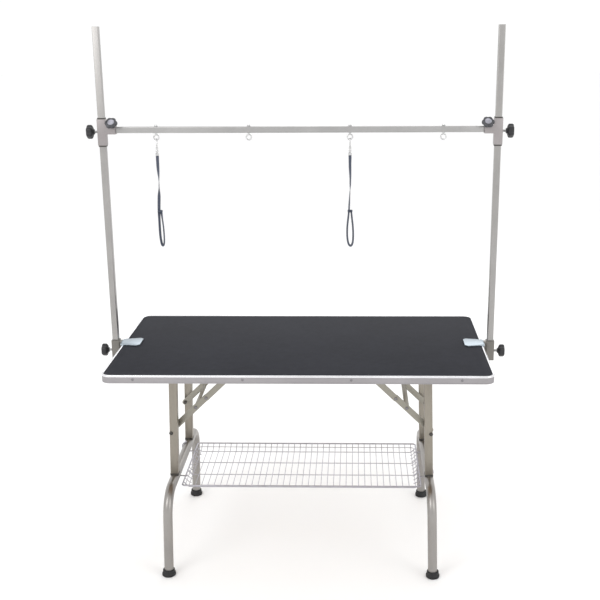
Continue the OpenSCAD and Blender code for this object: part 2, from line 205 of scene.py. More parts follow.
def pebbledMat(name, color):
    f = Finish(name, color, roughness=0.8, Specular_IOR_Level=0.15)
    pebbles = f.node("ShaderNodeTexVoronoi", {}, {"Vector": f.place, "Scale": 520.0}, "Distance")
    scuffs = f.noise(5, 6)
    dust = f.noise(46, 5)
    f.put("Base Color", f.ramp(scuffs * 0.55 + dust * 0.3 + pebbles * 0.3,
                               shade(color, 0.8), shade(color, 1.25), 0.35, 0.75))
    f.put("Roughness", 0.7 + scuffs * 0.1 + pebbles * 0.16)
    f.bump(1 - pebbles, 0.00028, 0.8)
    return f.material


def sealedBoard(name, light, dark):
    f = Finish(name, light, roughness=0.6)
    grain = f.noise(9, 6, (1.5, 24, 24))
    f.put("Base Color", f.ramp(grain, dark, light, 0.35, 0.65))
    f.put("Roughness", 0.5 + grain * 0.2)
    f.bump(grain, 0.0002, 0.5)
    return f.material


# the strap's own map runs across the webbing in x and along it in y, in metres
def wovenStrap(name, color, pale):
    f = Finish(name, color, roughness=0.72, Sheen_Weight=0.35, Sheen_Roughness=0.5)
    across = f.node("ShaderNodeUVMap", {"uv_map": "weave"}, {})
    runs = f.node("ShaderNodeSeparateXYZ", {}, {0: across}, "X")
    rows = f.node("ShaderNodeSeparateXYZ", {}, {0: across}, "Y")
    ribPitch, yarnPitch = 0.0016, 0.0012
    ribs = f.node("ShaderNodeMath", {"operation": "SINE"}, {0: rows * (2 * math.pi / ribPitch)})
    yarns = f.node("ShaderNodeMath", {"operation": "SINE"}, {0: runs * (2 * math.pi / yarnPitch)})
    weave = ribs * yarns * 0.5 + 0.5
    fade = f.noise(90, 4)
    f.put("Base Color", f.ramp(weave * 0.6 + fade * 0.4, color, pale, 0.25, 0.85))
    f.put("Roughness", 0.62 + fade * 0.2)
    f.bump(weave, 0.00025, 0.9)
    return f.material


upDown = (9, 9, 0.35)  # brushing runs along Z
leftRight = (0.35, 9, 9)
frontBack = (9, 0.35, 9)
finishes = {
    "mat_rubber": pebbledMat("charcoalMat", (0.026, 0.027, 0.033)),
    "board_wood": sealedBoard("sealedBoard", (0.46, 0.34, 0.22), (0.30, 0.20, 0.12)),
    "trim_metal": satinSteel("satinTrim", (0.36, 0.345, 0.355), leftRight, 0.38),
    # the lip is the trim's own metal, made far paler as a painted highlight of its rounded bead
    "trim_lip_painted_highlight": satinSteel("lipPaintedHighlight", (0.82, 0.82, 0.84), leftRight, 0.22, 0.05),
    "rivet_metal": satinSteel("rivetHeads", (0.24, 0.23, 0.24), (4, 4, 4), 0.4),
    "bracket_steel": satinSteel("platedBrackets", (0.32, 0.31, 0.28), leftRight, 0.42),
    # the clamp plate's pale bluish colour is a painted highlight
    "clamp_metal": satinSteel("clampPlatePaintedHighlight", (0.40, 0.455, 0.50), leftRight, 0.34),
    "basket_wire": brightWire("platedBasket", (0.44, 0.43, 0.47), 0.24),
    "upright_steel": satinSteel("warmUprights", (0.305, 0.28, 0.24), upDown, 0.40),
    "hoop_steel": satinSteel("greyHoops", (0.335, 0.32, 0.305), frontBack, 0.33),
    "foot_rubber": mouldedPlastic("blackRubber", (0.010, 0.010, 0.011), 0.62, 500),
    "bolt_steel": satinSteel("darkBolts", (0.09, 0.085, 0.08), (4, 4, 4), 0.42),
    "brace_steel": satinSteel("braceLinks", (0.315, 0.30, 0.26), leftRight, 0.40),
    "post_steel": satinSteel("armTubes", (0.375, 0.365, 0.355), upDown, 0.34),
    "bar_steel": satinSteel("overheadTube", (0.41, 0.405, 0.40), leftRight, 0.34),
    "tee_steel": satinSteel("teeSleeves", (0.36, 0.335, 0.335), upDown, 0.38),
    "knob_plastic": mouldedPlastic("knobBlack", (0.016, 0.016, 0.018), 0.42, 700),
    "top_knob_plastic": mouldedPlastic("knobGrey", (0.055, 0.056, 0.062), 0.36, 700),
    "stud_steel": satinSteel("platedStuds", (0.50, 0.50, 0.50), (4, 4, 4), 0.34),
    "hook_steel": brightWire("platedHooks", (0.62, 0.62, 0.62), 0.16),
    "strap_nylon": wovenStrap("navyWebbing", (0.034, 0.042, 0.066), (0.085, 0.098, 0.140)),
    "slider_plastic": mouldedPlastic("sliderNavy", (0.035, 0.042, 0.062), 0.5, 900),
    # the clamp's bracket and socket, darkened as painted shade
    "clamp_body_painted_shade": satinSteel("clampBodyPaintedShade", (0.20, 0.19, 0.175), upDown, 0.42),
    "dark_ring_finish": mouldedPlastic("darkCollars", (0.05, 0.047, 0.043), 0.5, 700),
    "knob_cap": mouldedPlastic("knobCapBlack", (0.030, 0.030, 0.033), 0.3, 900),
    "top_knob_cap": mouldedPlastic("knobCapPale", (0.30, 0.30, 0.34), 0.28, 900),
}
print("finishes mixed")


# gives a piece its material, picked by its finish or else its slot, and its body
def finishPiece(piece, body, slot, finish=None):
    piece.data.materials.clear()
    piece.data.materials.append(finishes[finish or slot])
    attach(piece, body)
    return piece


def meshPiece(name, bm, body, slot, finish=None, smooth=35):
    bmesh.ops.remove_doubles(bm, verts=bm.verts, dist=1e-6)
    bmesh.ops.recalc_face_normals(bm, faces=bm.faces)
    data = bpy.data.meshes.new(name)
    bm.to_mesh(data)
    bm.free()
    data.shade_smooth()
    data.set_sharp_from_angle(angle=math.radians(smooth))
    piece = bpy.data.objects.new(name, data)
    bpy.context.scene.collection.objects.link(piece)
    return finishPiece(piece, body, slot, finish)


# a copy of a hard CAD node with its flat faces merged and its sharp edges rounded over
def softened(node, name, width, slot, finish=None, segments=2):
    bm = bmesh.new()
    bm.from_mesh(nodes[node].data)
    bmesh.ops.remove_doubles(bm, verts=bm.verts, dist=1e-6)
    bmesh.ops.dissolve_limit(bm, angle_limit=math.radians(1.5), verts=bm.verts, edges=bm.edges)
    sharp = [e for e in bm.edges if e.is_manifold and e.calc_face_angle(0) > math.radians(40)]
    bmesh.ops.bevel(bm, geom=sharp, offset=width, offset_type="OFFSET", segments=segments,
                    affect="EDGES", profile=0.5, material=-1, clamp_overlap=True)
    bmesh.ops.triangulate(bm, faces=[f for f in bm.faces if len(f.verts) > 4])
    piece = meshPiece(name, bm, nodes[node]["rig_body"], slot, finish)
    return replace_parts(piece, node)


def wirePiece(name, runs, radius, body, slot, closed=False, around=2, finish=None):
    data = bpy.data.curves.new(name, "CURVE")
    data.dimensions = "3D"
    data.bevel_depth = radius
    data.bevel_resolution = around
    data.use_fill_caps = not closed
    for run in runs:
        spline = data.splines.new("POLY")
        spline.points.add(len(run) - 1)
        for point, place in zip(spline.points, run):
            point.co = (*place, 1)
        spline.use_cyclic_u = closed
        spline.use_smooth = True
    piece = bpy.data.objects.new(name, data)
    bpy.context.scene.collection.objects.link(piece)
    return finishPiece(piece, body, slot, finish)


# a run of straight wire through the corners, each bent to about that radius
def bent(corners, radius, steps=5):
    places = [Vector(c) for c in corners]
    run = [places[0]]
    for before, corner, after in zip(places, places[1:], places[2:]):
        start = corner + (before - corner).normalized() * radius
        end = corner + (after - corner).normalized() * radius
        for i in range(steps + 1):
            t = i / steps
            run.append(start * (1 - t) ** 2 + corner * 2 * t * (1 - t) + end * t * t)
    return run + [places[-1]]


facing = {
    "up": Matrix.Identity(4),
    "down": Matrix.Rotation(math.pi, 4, "X"),
    "right": Matrix.Rotation(math.pi / 2, 4, "Y"),
    "left": Matrix.Rotation(-math.pi / 2, 4, "Y"),
    "back": Matrix.Rotation(-math.pi / 2, 4, "X"),
    "front": Matrix.Rotation(math.pi / 2, 4, "X"),
    "corner": Matrix.Rotation(math.pi / 4, 4, "X"),  # half way between up and front
}


# moves what has been made since then to its place, facing that way
def setDown(bm, before, place, way):
    fresh = [v for v in bm.verts if v not in before]
    bmesh.ops.transform(bm, matrix=Matrix.Translation(place) @ facing[way], verts=fresh)


# a turned shape from its outline of (radius, height) in millimetres
def turned(bm, profile, place, way="up", steps=40):
    before = set(bm.verts)
    verts = [bm.verts.new((r * mm, 0, z * mm)) for r, z in profile]
    edges = [bm.edges.new(pair) for pair in zip(verts, verts[1:])]
    bmesh.ops.spin(bm, geom=verts + edges, cent=(0, 0, 0), axis=(0, 0, 1), dvec=(0, 0, 0),
                   angle=2 * math.pi, steps=steps, use_merge=True, use_duplicate=False)
    setDown(bm, before, place, way)


# walls between closed outlines of equal length, in millimetres
def stacked(bm, loops, place=(0, 0, 0), way="up", cap=True, join=False):
    before = set(bm.verts)
    rings = []
    for i, points in enumerate(loops):
        # a hair's rise at each loop, because two level loops would be bridged askew
        verts = [bm.verts.new(Vector(p) * mm + Vector((0, 0, i * 0.01 * mm))) for p in points]
        rings.append([bm.edges.new((verts[i - 1], verts[i])) for i in range(len(verts))])
    pairs = list(zip(rings, rings[1:])) + ([(rings[-1], rings[0])] if join else [])
    for low, high in pairs:
        bmesh.ops.bridge_loops(bm, edges=low + high)
    if cap:
        bmesh.ops.contextual_create(bm, geom=rings[0])
        bmesh.ops.contextual_create(bm, geom=rings[-1])
    setDown(bm, before, place, way)


def roundedLoop(halfX, halfY, radius, z, steps=8):
    run = []
    for quarter, (sx, sy) in enumerate(((1, 1), (-1, 1), (-1, -1), (1, -1))):
        for i in range(steps + 1):
            a = math.pi / 2 * (quarter + i / steps)
            run.append((sx * (halfX - radius) + radius * math.cos(a),
                        sy * (halfY - radius) + radius * math.sin(a), z))
    return run


# a square ring, rounded at its corners, from z up to top
def squareCollar(bm, outer, inner, z, top, place, ease=0.6, turn=None):
    loops = [roundedLoop(inner, inner, 1.2, z, 4), roundedLoop(outer - ease, outer - ease, 2, z, 4),
             roundedLoop(outer, outer, 2.4, z + ease, 4), roundedLoop(outer, outer, 2.4, top - ease, 4),
             roundedLoop(outer - ease, outer - ease, 2, top, 4), roundedLoop(inner, inner, 1.2, top, 4)]
    before = set(bm.verts)
    stacked(bm, loops, cap=False, join=True)
    fresh = [v for v in bm.verts if v not in before]
    bmesh.ops.transform(bm, matrix=Matrix.Translation(place) @ (turn or Matrix.Identity(4)), verts=fresh)


def threadedOutline(radius, low, high, pitch, depth):
    outline = [(0, low), (radius - depth, low)]
    z = low
    while z + pitch <= high:
        outline += [(radius - depth, z + 0.1 * pitch), (radius, z + 0.45 * pitch),
                    (radius, z + 0.6 * pitch), (radius - depth, z + 0.95 * pitch)]
        z += pitch
    return outline + [(radius - depth, high), (0, high)]


# the two nooses: snap hook, slider and strap, in millimetres but for places and length
nooseSizes = {
    "places": {"left": -0.454, "right": 0.160},
    "routes": {
        "left": [(0, 1326), (0, 1292), (1, 1252), (0, 1215), (-2, 1180), (-3.5, 1150),
                 (-4, 1124), (-4, 1094), (-3, 1062), (0, 1040), (4, 1034), (8, 1042),
                 (9, 1064), (8, 1096), (5.5, 1124), (3.4, 1148)],
        "right": [(0, 1326), (0, 1292), (1, 1252), (0, 1215), (-2, 1180), (-3.5, 1150),
                  (-6, 1124), (-9, 1094), (-9, 1062), (-5, 1040), (2, 1033), (8, 1042),
                  (10, 1064), (9, 1096), (6, 1124), (3.7, 1148)],
    },
    "keeper": (7.8, 4.8, 4, 1147),
    "steps": 5,
    "width": 10,
    "thick": 1.7,
    "turns": {  # how far the strap has turned at each height on its way down, in degrees
        "left": [(1326, 0), (1300, 8), (1226, 90), (1190, 158), (1152, 150), (1120, 128)],
        "right": [(1326, 14), (1296, 30), (1240, 62), (1200, 104), (1168, 118), (1120, 124)],
    },
    "length": 0.415,
    "wire": 2.0,
    "ringHeight": 1373.4,
    "ringRadius": 7,
    "ringFrom": -42,  # degrees, then one point each 16
    "neck": [(0, 1350), (1.5, 1356), (4.6, 1362)],
    "gate": [(-5.6, 1369), (-4.6, 1362), (-2.0, 1355)],
    "gateWire": 1.3,
    "barrel": [(0, 1326), (4.4, 1326), (5.3, 1326.8), (5.5, 1328), (5.5, 1333), (5.3, 1334.3),
               (4.2, 1335), (2.6, 1335.6), (2.6, 1337), (4.2, 1337.5), (4.6, 1338.6), (4.6, 1341),
               (3.6, 1342.4), (3.2, 1346), (3.8, 1349), (3.8, 1352.6), (2.8, 1354), (0, 1354.4)],
    "thumbStud": [(0, 0), (1.5, 0), (1.9, 0.5), (1.9, 2.2), (1.2, 3), (0, 3.1)],
    "thumbStudAt": (-2.4, 1358),
    # the webbing's cross-section, in half widths and half thicknesses
    "section": [(-1, 0), (-0.9, 0.8), (-0.7, 1), (0, 0.86), (0.7, 1), (0.9, 0.8),
                (1, 0), (0.9, -0.8), (0.7, -1), (0, -0.86), (-0.7, -1), (-0.9, -0.8)],
}


# a smooth curve through the points
def smoothRoute(points, steps):
    path = []
    last = len(points) - 1
    for i in range(last):
        a, b, c, d = points[max(0, i - 1)], points[i], points[i + 1], points[min(last, i + 2)]
        for k in range(steps):
            t = k / steps
            path.append(0.5 * (2 * b + (c - a) * t + (2 * a - 5 * b + 4 * c - d) * t * t
                               + (3 * b - 3 * c + d - a) * t ** 3))
    return path + [points[-1]]


def turnAt(height, turns):
    for (high, before), (low, after) in zip(turns, turns[1:]):
        if height > low:
            t = min(1.0, max(0.0, (high - height) / (high - low)))
            return before + (after - before) * t * t * (3 - 2 * t)
    return turns[-1][1]


def snapHook(side, s):
    x = s["places"][side]
    body = f"{side}_hanging_noose"
    ring = s["ringHeight"]
    loop = [(x, y * mm, z * mm) for y, z in s["neck"]]
    for i in range(15):
        a = math.radians(s["ringFrom"] + i * 16)
        loop.append((x, s["ringRadius"] * math.cos(a) * mm, (ring + s["ringRadius"] * math.sin(a)) * mm))
    hook = wirePiece(f"{side}HookLoop", [loop], s["wire"] * mm, body, "hook_steel", around=4)
    gate = [(x, y * mm, z * mm) for y, z in s["gate"]]
    wirePiece(f"{side}HookGate", [gate], s["gateWire"] * mm, body, "hook_steel", around=4)
    bm = bmesh.new()
    turned(bm, s["barrel"], (x, 0, 0))
    y, z = s["thumbStudAt"]
    turned(bm, s["thumbStud"], (x, y * mm, z * mm), "front", 20)
    barrel = meshPiece(f"{side}HookBarrel", bm, body, "hook_steel")
    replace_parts(hook, f"{side}_snap_hook")
    return hook, barrel


# the small sleeve that closes the loop
def keeper(side, x, halfX, halfY, halfZ, height):
    bm = bmesh.new()
    ease = 1.2
    loops = [roundedLoop(halfX - ease, halfY - ease, 2.4, -halfZ),
             roundedLoop(halfX, halfY, 2.8, -halfZ + ease),
             roundedLoop(halfX, halfY, 2.8, halfZ - ease),
             roundedLoop(halfX - ease, halfY - ease, 2.4, halfZ)]
    stacked(bm, loops, (x, 0, height * mm))
    piece = meshPiece(f"{side}Slider", bm, f"{side}_hanging_noose", "slider_plastic")
    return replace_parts(piece, f"{side}_slider")


def noose(side, s):
    x = s["places"][side]
    hook, barrel = snapHook(side, s)
    slider = keeper(side, x, *s["keeper"])
    points = [Vector((x + dx * mm, 0, z * mm)) for dx, z in s["routes"][side]]
    path = smoothRoute(points, s["steps"])
    third = len(path) // 3
    halfWidth, halfThick = s["width"] / 2 * mm, s["thick"] / 2 * mm
    section = s["section"]
    bm = bmesh.new()
    weave = bm.loops.layers.uv.new("weave")
    rings = []
    run = 0.0
    for i, here in enumerate(path):
        along = (path[min(i + 1, len(path) - 1)] - path[max(i - 1, 0)]).normalized()
        run += (here - path[max(i - 1, 0)]).length
        height = min(here.z, path[third].z) if i > third else here.z  # the loop keeps its turn
        turn = math.radians(turnAt(height / mm, s["turns"][side]))
        flat = Vector((0, 1, 0)).cross(along).normalized()
        wide = Matrix.Rotation(turn, 3, along) @ flat
        deep = along.cross(wide)
        rings.append([(bm.verts.new(here + wide * u * halfWidth + deep * v * halfThick),
                       u * halfWidth, run) for u, v in section])
    for low, high in zip(rings, rings[1:]):
        for k in range(len(section)):
            corners = (low[k - 1], low[k], high[k], high[k - 1])
            face = bm.faces.new([c[0] for c in corners])
            for loop, c in zip(face.loops, corners):
                loop[weave].uv = (c[1], c[2])
    bm.faces.new([c[0] for c in rings[0]])
    bm.faces.new([c[0] for c in reversed(rings[-1])])
    strap = meshPiece(f"{side}Strap", bm, f"{side}_hanging_noose", "strap_nylon", smooth=70)
    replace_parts(strap, f"{side}_noose")


for side in sides:
    noose(side, nooseSizes)
print("nooses hung")


# a wide pale floor under a white sky, and three soft lamps in metres and watts
studio = {
    "floorRadius": 40,
    "paint": (0.97, 0.97, 0.97),
    "sky": 1.04,
    "lamps": [  # name, place, what it shines on, width, power
        ("keyLight", (-2.6, -3.4, 3.6), (0, 0, 0.8), 2.2, 55),
        ("fillLight", (3.4, -2.6, 2.4), (0, 0, 0.7), 2.0, 30),
        ("backLight", (0.4, 3.6, 3.4), (0, 0, 0.9), 2.4, 25),
    ],
}


def makeStudio(s):
    data = bpy.data.meshes.new("paleFloor")
    bm = bmesh.new()
    bmesh.ops.create_circle(bm, cap_ends=True, segments=96, radius=s["floorRadius"])
    bm.to_mesh(data)
    bm.free()
    floor = bpy.data.objects.new("paleFloor", data)
    bpy.context.scene.collection.objects.link(floor)
    paint = Finish("palePaint", s["paint"], roughness=0.75)
    paint.put("Roughness", 0.7 + paint.noise(3, 2) * 0.1)
    data.materials.append(paint.material)
    world = bpy.data.worlds.new("paleRoom")
    world.use_nodes = True
    sky = world.node_tree.nodes["Background"].inputs
    sky["Color"].default_value = (1.0, 1.0, 1.0, 1.0)
    sky["Strength"].default_value = s["sky"]
    bpy.context.scene.world = world
    bpy.context.scene.view_settings.view_transform = "Standard"
    for name, place, target, size, power in s["lamps"]:
        light = bpy.data.lights.new(name, "AREA")
        light.energy = power
        light.size = size
        lamp = bpy.data.objects.new(name, light)
        bpy.context.scene.collection.objects.link(lamp)
        way = Vector(target) - Vector(place)
        lamp.matrix_world = Matrix.Translation(place) @ way.to_track_quat("-Z", "Y").to_matrix().to_4x4()


makeStudio(studio)
print("studio lit")


# the top: mat, board, edge trim and rivets, in millimetres
topSizes = {
    "length": 1200,
    "depth": 650,
    "corner": 30,
    "rivetsAlong": (-500, -165, 165, 500),
    "rivetsAcross": (-190, 190),
    "rivetHeight": 687.5,
    "rivet": [(0, 1.7), (1.4, 1.6), (2.8, 1.2), (3.8, 0.5), (4.1, 0), (4.1, -0.5), (0, -0.5)],
    # outlines of the trim, as distance outside the top's edge and height
    "band": [(-14, 675), (-0.9, 675), (-0.2, 675.3), (0, 676), (0, 677.6), (-0.5, 678.1),
             (-0.5, 678.9), (0, 679.4), (0, 693.2), (-0.6, 693.9), (-0.6, 694.6), (-4, 694.6),
             (-4, 676.5), (-14, 676.5)],
    "lip": [(-0.4, 694.4), (0.6, 694.9), (1.3, 696.1), (1.4, 697.6), (1.0, 699.2), (0.0, 700.4),
            (-1.4, 701), (-3.0, 701), (-4.4, 700.6), (-5.2, 700), (-4.6, 699.7), (-4, 699.4),
            (-4, 694.4)],
    "matEase": 0.7,
    "boardEase": 0.4,
    "bracketEase": 0.5,
}


# carries an outline of the trim all the way round the top
def trimRing(bm, s, outline):
    loops = [roundedLoop(s["length"] / 2 + d, s["depth"] / 2 + d, max(2, s["corner"] + d), z, 12)
             for d, z in outline]
    stacked(bm, loops, cap=False, join=True)


def makeTop(s):
    bm = bmesh.new()
    trimRing(bm, s, s["band"])
    band = meshPiece("edgeBand", bm, "table", "trim_metal")
    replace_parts(band, "edge_trim")
    bm = bmesh.new()
    trimRing(bm, s, s["lip"])
    # the lip wears the painted highlight copy of the trim metal
    meshPiece("edgeLip", bm, "table", "trim_metal", "trim_lip_painted_highlight")
    softened("mat", "rubberMat", s["matEase"] * mm, "mat_rubber")
    softened("board", "woodenBoard", s["boardEase"] * mm, "board_wood")
    bm = bmesh.new()
    endX, endY, z = s["length"] / 2 * mm, s["depth"] / 2 * mm, s["rivetHeight"] * mm
    for x in s["rivetsAlong"]:
        turned(bm, s["rivet"], (x * mm, -endY, z), "front", 24)
        turned(bm, s["rivet"], (x * mm, endY, z), "back", 24)
    for y in s["rivetsAcross"]:
        turned(bm, s["rivet"], (-endX, y * mm, z), "left", 24)
        turned(bm, s["rivet"], (endX, y * mm, z), "right", 24)
    rivets = meshPiece("rivets", bm, "table", "rivet_metal")
    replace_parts(rivets, "trim_rivets")
    softened("hinge_brackets", "hingePlates", s["bracketEase"] * mm, "bracket_steel")
    softened("brace_brackets", "bracePlates", s["bracketEase"] * mm, "bracket_steel")


makeTop(topSizes)
print("top made")


# the leg frames, in millimetres
legSizes = {
    "hinge": (410, 656),
    "splay": math.radians(1.6),
    "drop": 376,
    "uprightAt": 146,
    "upright": 26,
    "footAt": 287,
    "hoopRadius": 15,
    "bendRadius": 75,
    "bolt": (8, 215),  # how far outboard, and below the hinge
    "boltShank": 118,  # where the shanks' inner ends and the nuts are
    "boltHead": [(0, -1), (6.4, -1), (6.4, 0.5), (6.2, 1.1), (5.2, 2.4), (3.4, 3.2), (2.2, 3.3),
                 (2.0, 2.4), (0, 2.3)],
    "boltBody": [(0, 0), (4, 0), (4, 14), (0, 14)],
    "nut": [(0, 0), (5.6, 0), (6.6, 0.4), (6.6, 2.4), (5.6, 3), (0, 3)],
    "collar": (358, 366),
    "collarOut": 0.9,
    "collarIn": 0.4,
    "sole": [(0, 0), (17.5, 0), (20.2, 0.5), (21.7, 2), (22, 4), (22, 8.4), (21.5, 9.6),
             (20.3, 10.6), (19.6, 12), (19.2, 18.6), (18.8, 20.8), (17.8, 22), (15.6, 22),
             (15.0, 21), (15.0, 7), (0, 7)],
    "footTop": 8,  # the tube's end stands this high in the rubber
    "uprightEase": 0.5,
    "hingeEase": 0.6,
}


def legTurn(side, s):
    hingeX, hingeZ = s["hinge"]
    sign = sides[side]
    return (Matrix.Translation((sign * hingeX * mm, 0, hingeZ * mm))
            @ Matrix.Rotation(-sign * s["splay"], 4, "Y"))


def makeLegs(side, s):
    body = f"{side}_leg_frame"
    turn = legTurn(side, s)
    # the hoop: foot, bend, level tube, bend, foot
    level, foot, bend = -s["drop"], s["footAt"], s["bendRadius"]
    ground = -(s["hinge"][1] - s["footTop"]) / math.cos(s["splay"])
    arc = [math.pi / 2 * i / 14 for i in range(15)]
    half = [(0, foot, ground)]
    half += [(0, foot - bend + bend * math.cos(a), level - bend + bend * math.sin(a)) for a in arc]
    line = half + [(0, -y, z) for _, y, z in reversed(half)]
    hoop = wirePiece(f"{side}Hoop", [[turn @ (Vector(p) * mm) for p in line]], s["hoopRadius"] * mm,
                     body, "hoop_steel", around=12)
    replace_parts(hoop, f"{side}_hoop")
    softened(f"{side}_uprights", f"{side}Uprights", s["uprightEase"] * mm, "upright_steel")
    softened(f"{side}_hinge_tube", f"{side}HingeTube", s["hingeEase"] * mm, "bracket_steel")
    # dark rings round the square tubes just above the hoop
    low, high = s["collar"]
    bm = bmesh.new()
    edge = s["upright"] / 2
    for y in (-s["uprightAt"], s["uprightAt"]):
        squareCollar(bm, edge + s["collarOut"], edge - s["collarIn"], -high, -low,
                     turn @ Vector((0, y * mm, 0)), turn=turn.to_3x3().to_4x4())
    meshPiece(f"{side}Collars", bm, body, "foot_rubber", "dark_ring_finish")
    # rubber feet
    bm = bmesh.new()
    hingeX, hingeZ = s["hinge"]
    footX = sides[side] * (hingeX * mm + hingeZ * mm * math.tan(s["splay"]))
    for y in (-foot, foot):
        turned(bm, s["sole"], (footX, y * mm, 0), steps=56)
    feet = meshPiece(f"{side}Feet", bm, body, "foot_rubber")
    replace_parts(feet, f"{side}_feet")
    # domed bolts through the uprights and their inner nuts
    outboard, below = s["bolt"]
    outer = s["uprightAt"] + edge
    bm = bmesh.new()
    for sign, way, back in ((-1, "front", "back"), (1, "back", "front")):
        at = turn @ (Vector((sides[side] * outboard, sign * outer, -below)) * mm)
        turned(bm, s["boltHead"], at, way, 32)
        at = turn @ (Vector((sides[side] * outboard, sign * s["boltShank"], -below)) * mm)
        turned(bm, s["nut"], at, back, 6)
        turned(bm, s["boltBody"], at, way, 24)
    bolts = meshPiece(f"{side}BraceBolts", bm, body, "bolt_steel")
    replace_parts(bolts, f"{side}_brace_bolts")


for side in sides:
    makeLegs(side, legSizes)
print("legs made")


# the folding braces, with pivots as distance from the middle and height
braceSizes = {
    "elbow": (309.5, 552.65),
    "crossing": (346, 517),
    "high": (195, 664),
    "lowerFace": 118,
    "upperFace": 129,
    "rivet": [(0, -0.4), (5.6, -0.4), (5.6, 0.3), (4.9, 1.3), (3.2, 2.1), (0, 2.4)],
    "linkEase": 0.7,
    "crossEase": 0.9,
}


def makeBraces(side, s):
    softened(f"{side}_lower_links", f"{side}LowerLinks", s["linkEase"] * mm, "brace_steel")
    softened(f"{side}_upper_links", f"{side}UpperLinks", s["linkEase"] * mm, "brace_steel")
    softened(f"{side}_cross_bar", f"{side}CrossBar", s["crossEase"] * mm, "brace_steel")
    rivet = s["rivet"]
    x, z = s["elbow"]
    bm = bmesh.new()
    for sign, way in ((-1, "back"), (1, "front")):
        turned(bm, rivet, (sides[side] * x * mm, sign * (s["lowerFace"] - 2.2) * mm, z * mm), way, 28)
    meshPiece(f"{side}ElbowRivets", bm, f"{side}_lower_brace", "brace_steel", "rivet_metal")
    # a screw at each end of the cross bar
    x, z = s["crossing"]
    bm = bmesh.new()
    for sign, way in ((-1, "front"), (1, "back")):
        turned(bm, rivet, (sides[side] * x * mm, sign * (s["lowerFace"] + 4) * mm, z * mm), way, 28)
    meshPiece(f"{side}CrossScrews", bm, f"{side}_lower_brace", "brace_steel", "rivet_metal")
    bm = bmesh.new()
    for sign, way in ((-1, "front"), (1, "back")):
        for x, z in (s["high"], s["elbow"]):
            turned(bm, rivet, (sides[side] * x * mm, sign * s["upperFace"] * mm, z * mm), way, 28)
    meshPiece(f"{side}HighRivets", bm, f"{side}_upper_brace", "brace_steel", "rivet_metal")


for side in sides:
    makeBraces(side, braceSizes)
print("braces made")


# the basket of round wire, in millimetres
basketSizes = {
    "rim": (394, 172, 261.5, 10),
    "rimWire": 2.5,
    "floor": (378, 142, 244.2),
    "wire": 1.2,
    "pitch": 21,
    "runs": (-140.8, -47.3, 47.3, 140.8),
    "endPitch": 28,
    "bend": 7,
    "endBend": 5,
    "past": 1,  # how far the wires' ends go past the rim rod's line, and below it
    "under": 0.6,
    "runDrop": 1.9,  # the long runs lie under the cross wires, and are thicker
    "runThicker": 1.15,
    "beltOut": 1.5,
    "hookAt": 100,
    "tube": (420.5, 280.15),
    "hookRadius": 17.8,
    "hookWire": 2.2,
    "hookReach": (-6, 8),  # its straight part, from the rim's end
    "hookTurn": 175,
}


def makeBasket(s):
    rimX, rimY, rimZ, corner = s["rim"]
    floorX, floorY, floorZ = s["floor"]
    rim = wirePiece("basketRim", [[Vector(p) * mm for p in roundedLoop(rimX, rimY, corner, rimZ, 6)]],
                    s["rimWire"] * mm, "table", "basket_wire", closed=True, around=3)
    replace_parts(rim, "basket_rim")
    outX, outY, endZ = rimX + s["past"], rimY + s["past"], rimZ - s["under"]
    count = int(floorX // s["pitch"])
    cross = []
    for i in range(-count, count + 1):
        x = i * s["pitch"]
        cross.append(bent([Vector(p) * mm for p in (
            (x, -outY, endZ), (x, -floorY, floorZ), (x, floorY, floorZ),
            (x, outY, endZ))], s["bend"] * mm, 4))
    crossWires = wirePiece("basketCrossWires", cross, s["wire"] * mm, "table", "basket_wire", around=1)
    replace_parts(crossWires, "basket_floor", "basket_front", "basket_rear")
    low = floorZ - s["runDrop"]
    runs = [bent([Vector(p) * mm for p in (
        (-outX, y, endZ), (-floorX - 1, y, low), (floorX + 1, y, low),
        (outX, y, endZ))], s["bend"] * mm, 4) for y in s["runs"]]
    wirePiece("basketRuns", runs, s["wire"] * s["runThicker"] * mm, "table", "basket_wire", around=1)
    midX, midY = (rimX + floorX) / 2 + s["beltOut"], (rimY + floorY) / 2 + s["beltOut"]
    midZ = (rimZ + floorZ) / 2
    wirePiece("basketBelt", [[Vector(p) * mm for p in roundedLoop(midX, midY, corner, midZ, 6)]],
              s["wire"] * mm, "table", "basket_wire", closed=True, around=1)
    ends = []
    rows = int(floorY // s["endPitch"])
    for sign in (-1, 1):
        for i in range(-rows, rows + 1):
            y = i * s["endPitch"]
            ends.append(bent([Vector(p) * mm for p in (
                (sign * (count * s["pitch"] - 4), y, floorZ - 1), (sign * floorX, y, floorZ - 1),
                (sign * outX, y, endZ))], s["endBend"] * mm, 4))
    endWires = wirePiece("basketEndWires", ends, s["wire"] * mm, "table", "basket_wire", around=1)
    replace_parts(endWires, "basket_ends")
    tubeX, tubeZ = s["tube"]
    start, stop = s["hookReach"]
    hooks = []
    for sign in (-1, 1):
        for y in (-s["hookAt"], s["hookAt"]):
            hook = [(sign * (rimX + start), y, tubeZ - s["hookRadius"] - 0.4),
                    (sign * (rimX + stop), y, tubeZ - s["hookRadius"])]
            for i in range(19):
                a = math.radians(-90 + s["hookTurn"] * i / 18)
                hook.append((sign * (tubeX + s["hookRadius"] * math.cos(a)), y,
                             tubeZ + s["hookRadius"] * math.sin(a)))
            hooks.append([Vector(p) * mm for p in hook])
    hookPiece = wirePiece("basketHooks", hooks, s["hookWire"] * mm, "table", "basket_wire", around=3)
    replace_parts(hookPiece, "basket_hooks")


makeBasket(basketSizes)
print("basket woven")


